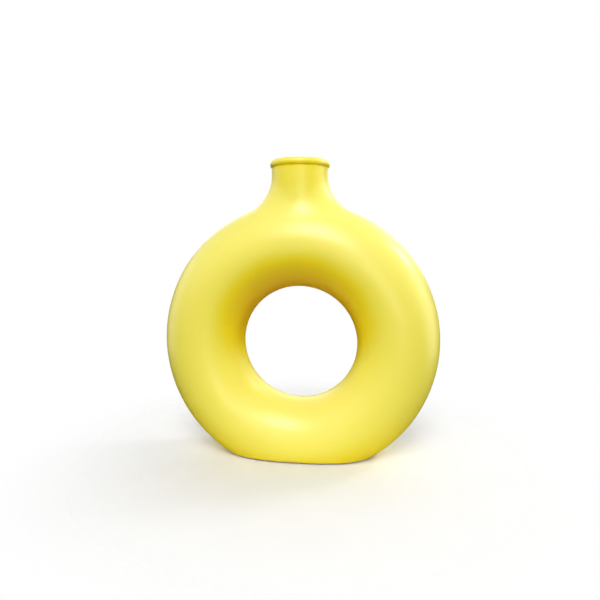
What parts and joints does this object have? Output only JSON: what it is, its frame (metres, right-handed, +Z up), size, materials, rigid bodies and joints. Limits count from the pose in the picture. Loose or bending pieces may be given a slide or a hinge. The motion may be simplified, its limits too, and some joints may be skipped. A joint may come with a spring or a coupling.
{
  "type": "donut vase",
  "caption": "Upright hollow ring vase on a flat foot, with a flared neck and a rolled lip, that holds water and flower stems.",
  "frame": {"origin": "on the surface that the vase stands on, under the middle of the ring", "axes": "+Z up through the neck, +X to the right along the ring's width, +Y to the rear along the ring's own axis"},
  "size_m": [0.18, 0.0524, 0.19],
  "materials": {
    "yellow_glaze": "satin",
    "fired_clay": "matt",
    "liner_glaze": "gloss"
  },
  "bodies": {
    "root": {"front_shell": "fired_clay", "rear_shell": "fired_clay", "neck": "fired_clay", "lip": "fired_clay", "foot": "fired_clay", "outer_glaze": "yellow_glaze", "liner_glaze": "liner_glaze"}
  },
  "joints": []
}
